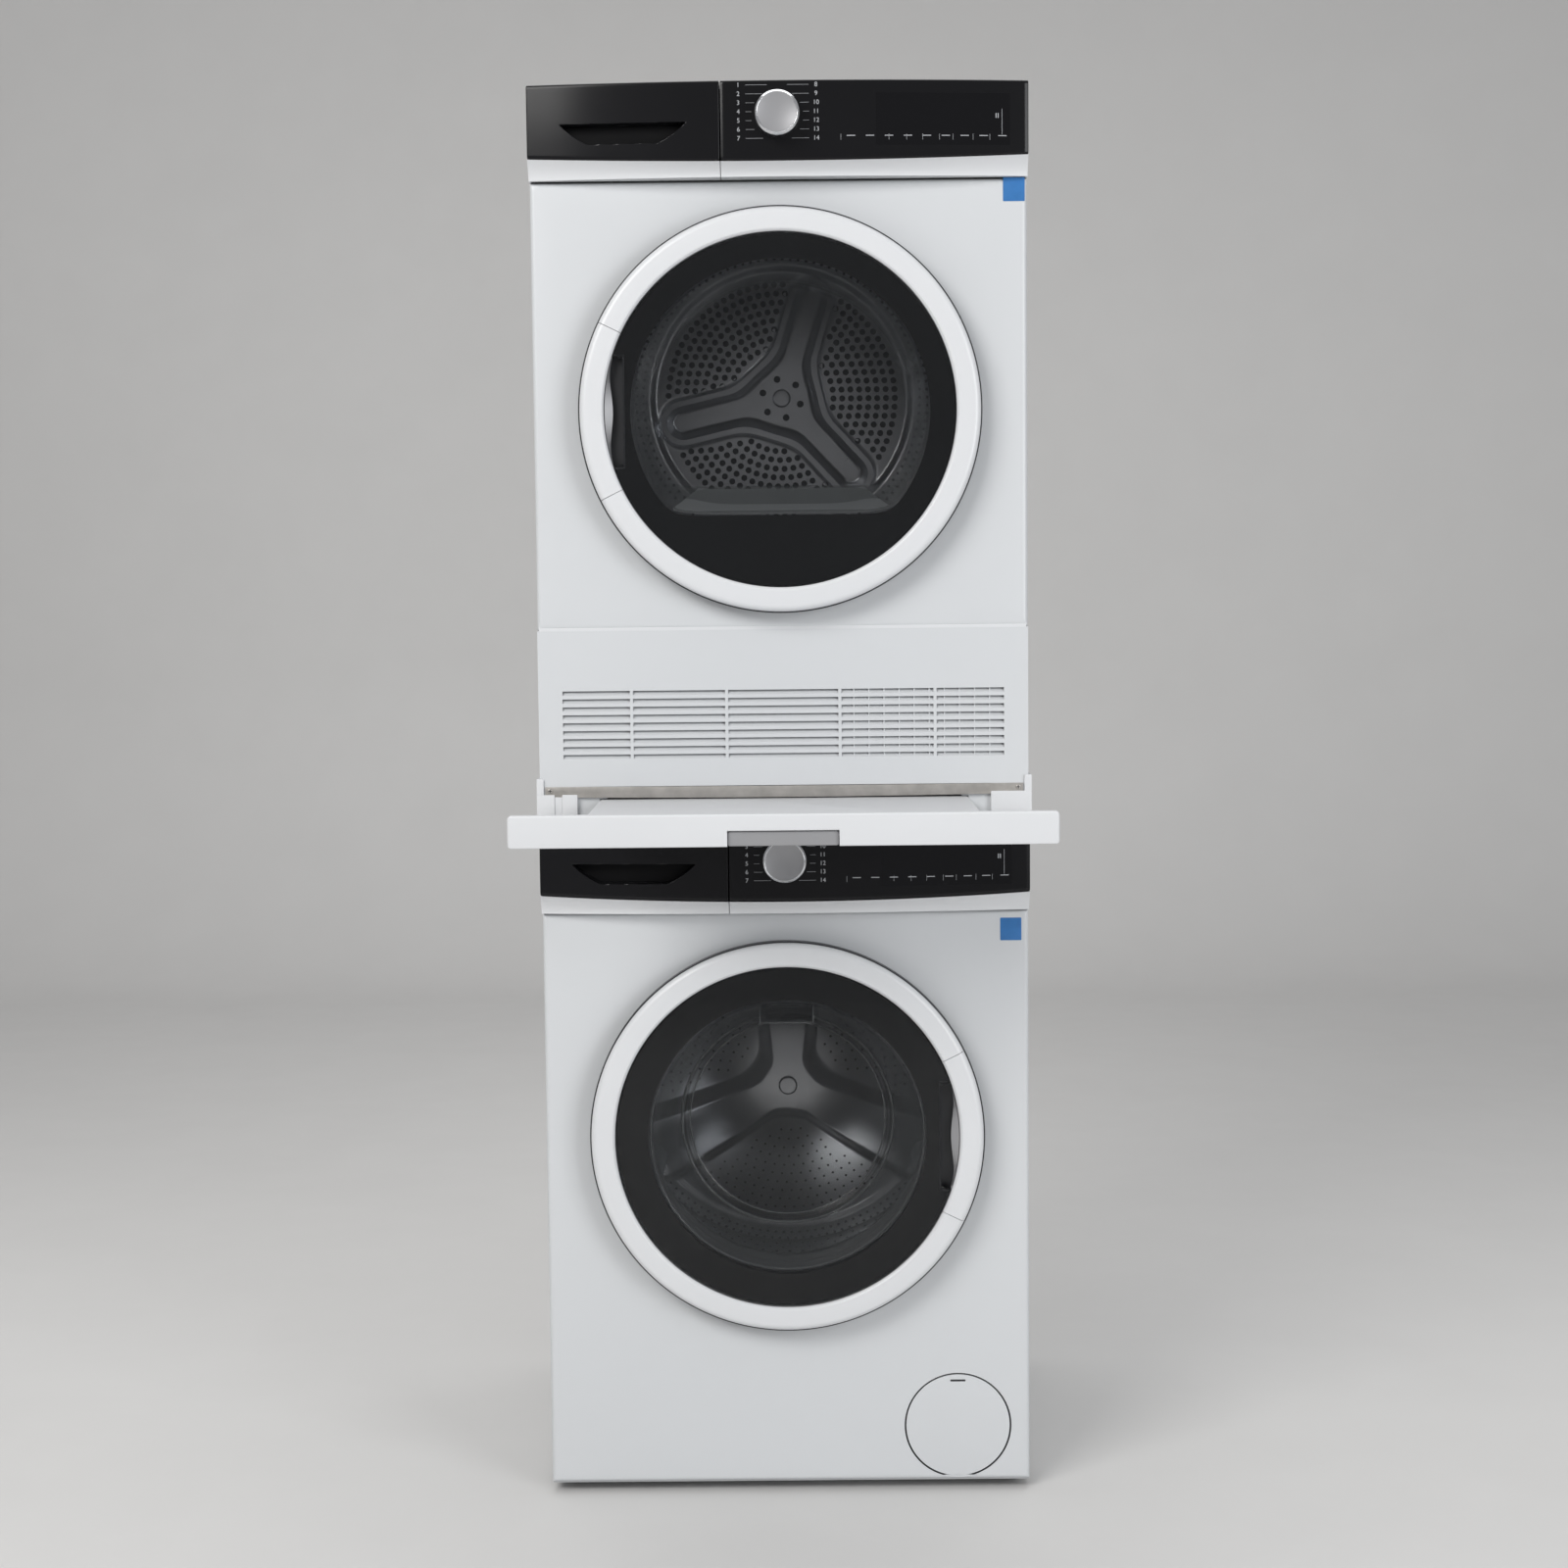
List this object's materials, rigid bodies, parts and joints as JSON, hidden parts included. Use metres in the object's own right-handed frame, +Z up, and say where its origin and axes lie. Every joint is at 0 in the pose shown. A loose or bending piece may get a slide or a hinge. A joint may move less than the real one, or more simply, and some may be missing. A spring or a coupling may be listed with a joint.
{
  "type": "washer dryer stack",
  "caption": "Front-loading washer with a dryer stacked on it over a frame with a pull-out shelf; round doors, bowed dark control panels, drawers and knobs.",
  "frame": {"origin": "on the floor under the middle of the whole, with the shelf drawn out", "axes": "+Z up, +X to the right as seen from the front, the front faces -Y"},
  "size_m": [0.605, 0.849, 1.723],
  "materials": {
    "base_trays": "galvanised",
    "door_hinges": "plated",
    "drawer_housings": "matte",
    "drive_belts": "matte",
    "dryer_back_panel": "matte",
    "dryer_bulkheads": "matte",
    "dryer_condenser": "fins",
    "dryer_control_panel": "gloss",
    "dryer_door_bowl": "clear",
    "dryer_door_cover": "smoked",
    "dryer_door_frame": "matte",
    "dryer_door_grip": "satin",
    "dryer_door_ring": "satin",
    "dryer_drawer_front": "gloss",
    "dryer_drum": "brushed",
    "dryer_drum_lifters": "satin",
    "dryer_fascia_trim": "satin",
    "dryer_front_panel": "satin",
    "dryer_knob": "satin silver",
    "dryer_motor": "cast",
    "dryer_plinth_panel": "satin",
    "dryer_rotor": "moulded",
    "dryer_side_panels": "satin",
    "dryer_water_tank": "satin",
    "frame_cross_strip": "galvanised",
    "frame_end_caps": "satin",
    "frame_screws": "plated",
    "lint_filter": "satin",
    "pump_filter_cap": "matte",
    "pump_hatch": "satin",
    "shelf_board": "white laminate",
    "shelf_front": "satin",
    "shelf_handle": "satin",
    "stacking_frame": "satin",
    "top_covers": "satin",
    "washer_back_panel": "matte",
    "washer_control_panel": "gloss",
    "washer_counterweights": "rough",
    "washer_dispenser_tray": "satin",
    "washer_door_bowl": "clear",
    "washer_door_cover": "smoked",
    "washer_door_frame": "matte",
    "washer_door_gasket": "matte",
    "washer_door_grip": "satin",
    "washer_door_ring": "satin",
    "washer_drain_pump": "matte",
    "washer_drawer_front": "gloss",
    "washer_drum": "brushed",
    "washer_drum_lifters": "satin",
    "washer_drum_pulley": "cast",
    "washer_fascia_trim": "satin",
    "washer_feet": "matte",
    "washer_front_panel": "satin",
    "washer_inlet_valve": "matte",
    "washer_knob": "satin silver",
    "washer_motor": "cast",
    "washer_motor_pulley": "turned",
    "washer_side_panels": "satin",
    "washer_suspension": "matte",
    "washer_tub": "matte"
  },
  "bodies": {
    "cabinet": {"base_trays": "base_trays", "door_hinges": "door_hinges", "drawer_housings": "drawer_housings", "drive_belts": "drive_belts", "dryer_back_panel": "dryer_back_panel", "dryer_bulkheads": "dryer_bulkheads", "dryer_condenser": "dryer_condenser", "dryer_control_panel": "dryer_control_panel", "dryer_fascia_trim": "dryer_fascia_trim", "dryer_front_panel": "dryer_front_panel", "dryer_motor": "dryer_motor", "dryer_plinth_panel": "dryer_plinth_panel", "dryer_side_panels": "dryer_side_panels", "frame_cross_strip": "frame_cross_strip", "frame_end_caps": "frame_end_caps", "frame_screws": "frame_screws", "stacking_frame": "stacking_frame", "top_covers": "top_covers", "washer_back_panel": "washer_back_panel", "washer_control_panel": "washer_control_panel", "washer_counterweights": "washer_counterweights", "washer_door_gasket": "washer_door_gasket", "washer_drain_pump": "washer_drain_pump", "washer_fascia_trim": "washer_fascia_trim", "washer_feet": "washer_feet", "washer_front_panel": "washer_front_panel", "washer_inlet_valve": "washer_inlet_valve", "washer_motor": "washer_motor", "washer_side_panels": "washer_side_panels", "washer_suspension": "washer_suspension", "washer_tub": "washer_tub"},
    "washer_door": {"washer_door_ring": "washer_door_ring", "washer_door_grip": "washer_door_grip", "washer_door_cover": "washer_door_cover", "washer_door_bowl": "washer_door_bowl", "washer_door_frame": "washer_door_frame"},
    "dryer_door": {"dryer_door_ring": "dryer_door_ring", "dryer_door_grip": "dryer_door_grip", "dryer_door_cover": "dryer_door_cover", "dryer_door_bowl": "dryer_door_bowl", "dryer_door_frame": "dryer_door_frame"},
    "washer_drawer": {"washer_drawer_front": "washer_drawer_front", "washer_dispenser_tray": "washer_dispenser_tray"},
    "dryer_drawer": {"dryer_drawer_front": "dryer_drawer_front", "dryer_water_tank": "dryer_water_tank"},
    "washer_dial": {"washer_knob": "washer_knob"},
    "dryer_dial": {"dryer_knob": "dryer_knob"},
    "washer_basket": {"washer_drum": "washer_drum", "washer_drum_lifters": "washer_drum_lifters", "washer_drum_pulley": "washer_drum_pulley"},
    "washer_drive": {"washer_motor_pulley": "washer_motor_pulley"},
    "dryer_basket": {"dryer_drum": "dryer_drum", "dryer_drum_lifters": "dryer_drum_lifters"},
    "dryer_drive": {"dryer_rotor": "dryer_rotor"},
    "shelf": {"shelf_board": "shelf_board", "shelf_front": "shelf_front", "shelf_handle": "shelf_handle"},
    "hatch": {"pump_hatch": "pump_hatch"},
    "filter_cap": {"pump_filter_cap": "pump_filter_cap"},
    "lint_screen": {"lint_filter": "lint_filter"}
  },
  "joints": [
    {"name": "washer_door_hinge", "type": "hinge", "parent": "cabinet", "child": "washer_door", "pos_m": [-0.231, -0.1275, 0.454], "axis": [0, 0, -1], "range_deg": [0, 120]},
    {"name": "dryer_door_hinge", "type": "hinge", "parent": "cabinet", "child": "dryer_door", "pos_m": [0.231, -0.1275, 1.337], "axis": [0, 0, 1], "range_deg": [0, 120]},
    {"name": "washer_drawer_slide", "type": "slide", "parent": "cabinet", "child": "washer_drawer", "axis": [0, -1, 0], "range_m": [0, 0.18]},
    {"name": "dryer_drawer_slide", "type": "slide", "parent": "cabinet", "child": "dryer_drawer", "axis": [0, -1, 0], "range_m": [0, 0.36]},
    {"name": "washer_knob_turn", "type": "hinge", "parent": "cabinet", "child": "washer_dial", "pos_m": [0, -0.1455, 0.798], "axis": [0, 1, 0], "continuous": true},
    {"name": "dryer_knob_turn", "type": "hinge", "parent": "cabinet", "child": "dryer_dial", "pos_m": [0, -0.1455, 1.681], "axis": [0, 1, 0], "continuous": true},
    {"name": "washer_drum_spin", "type": "hinge", "parent": "cabinet", "child": "washer_basket", "pos_m": [0, 0.1445, 0.454], "axis": [0, 1, 0], "continuous": true},
    {"name": "washer_motor_spin", "type": "hinge", "parent": "cabinet", "child": "washer_drive", "pos_m": [-0.06, 0.2445, 0.1], "axis": [0, 1, 0], "continuous": true},
    {"name": "dryer_drum_spin", "type": "hinge", "parent": "cabinet", "child": "dryer_basket", "pos_m": [0, 0.1445, 1.387], "axis": [0, 1, 0], "continuous": true},
    {"name": "dryer_motor_spin", "type": "hinge", "parent": "cabinet", "child": "dryer_drive", "pos_m": [0.15, 0.2445, 1], "axis": [0, 1, 0], "continuous": true},
    {"name": "shelf_slide", "type": "slide", "parent": "cabinet", "child": "shelf", "axis": [0, -1, 0], "range_m": [-0.3, 0]},
    {"name": "hatch_hinge", "type": "hinge", "parent": "cabinet", "child": "hatch", "pos_m": [0.209, -0.1045, 0.017], "axis": [1, 0, 0], "range_deg": [0, 90]},
    {"name": "filter_cap_turn", "type": "hinge", "parent": "cabinet", "child": "filter_cap", "pos_m": [0.209, -0.0755, 0.0815], "axis": [0, 1, 0], "range_deg": [0, 90]},
    {"name": "lint_filter_slide", "type": "slide", "parent": "cabinet", "child": "lint_screen", "axis": [0, 0, 1], "range_m": [0, 0.065]}
  ],
  "couplings": [
    {"joint": "washer_motor_spin", "follows": "washer_drum_spin", "ratio": 12},
    {"joint": "dryer_motor_spin", "follows": "dryer_drum_spin", "ratio": 19}
  ]
}
